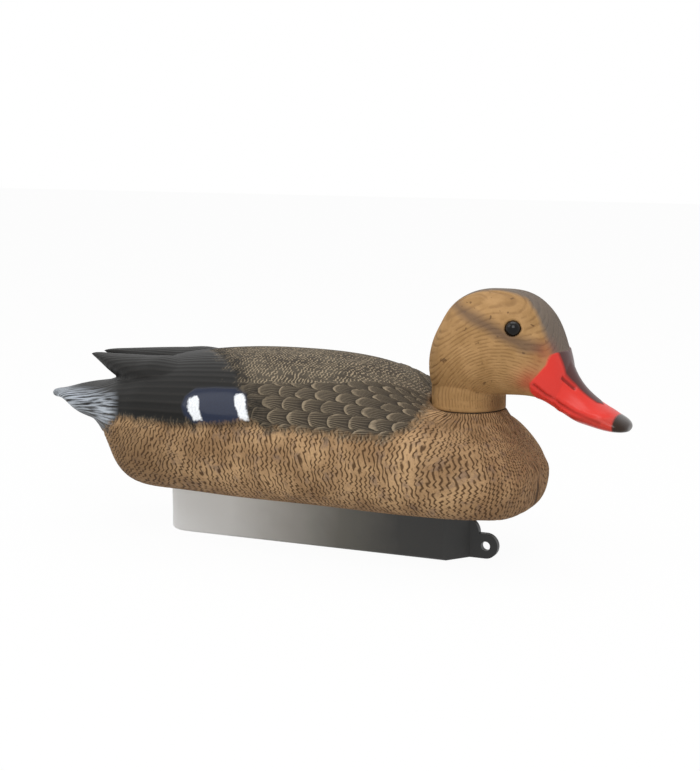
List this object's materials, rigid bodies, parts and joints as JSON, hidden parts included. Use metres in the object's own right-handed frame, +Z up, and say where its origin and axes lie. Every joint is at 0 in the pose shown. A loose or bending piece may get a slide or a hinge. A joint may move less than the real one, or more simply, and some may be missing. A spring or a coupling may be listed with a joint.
{
  "type": "floating duck decoy",
  "caption": "Hollow floating hen duck decoy with folded wings, a swivelling head, and a ballasted keel with a line tab at its front",
  "frame": {"origin": "on the ground under the keel, in the middle of the overall length and width", "axes": "+X towards the bill, +Y to the duck's left, +Z up"},
  "size_m": [0.41, 0.1588, 0.1715],
  "materials": {
    "body_plumage": "matte",
    "head_plumage": "matte",
    "eye_bead": "gloss",
    "swivel_plastic": "satin",
    "seal_rubber": "matte",
    "keel_plastic": "satin",
    "plug_plastic": "satin",
    "ballast_sand": "matte",
    "screw_steel": "satin"
  },
  "bodies": {
    "float": {"float_body": "body_plumage", "neck_socket": "swivel_plastic", "keel_shell": "keel_plastic", "keel_filler_plug": "plug_plastic", "keel_ballast": "ballast_sand", "keel_screws": "screw_steel"},
    "head": {"head_shell": "head_plumage", "neck_plug": "swivel_plastic", "neck_seal_ring": "seal_rubber", "left_eye": "eye_bead", "right_eye": "eye_bead"}
  },
  "joints": [
    {"name": "head_turn", "type": "hinge", "parent": "float", "child": "head", "pos_m": [0.1015, 0, 0.096], "axis": [0, 0, 1], "range_deg": [-90, 90]}
  ]
}
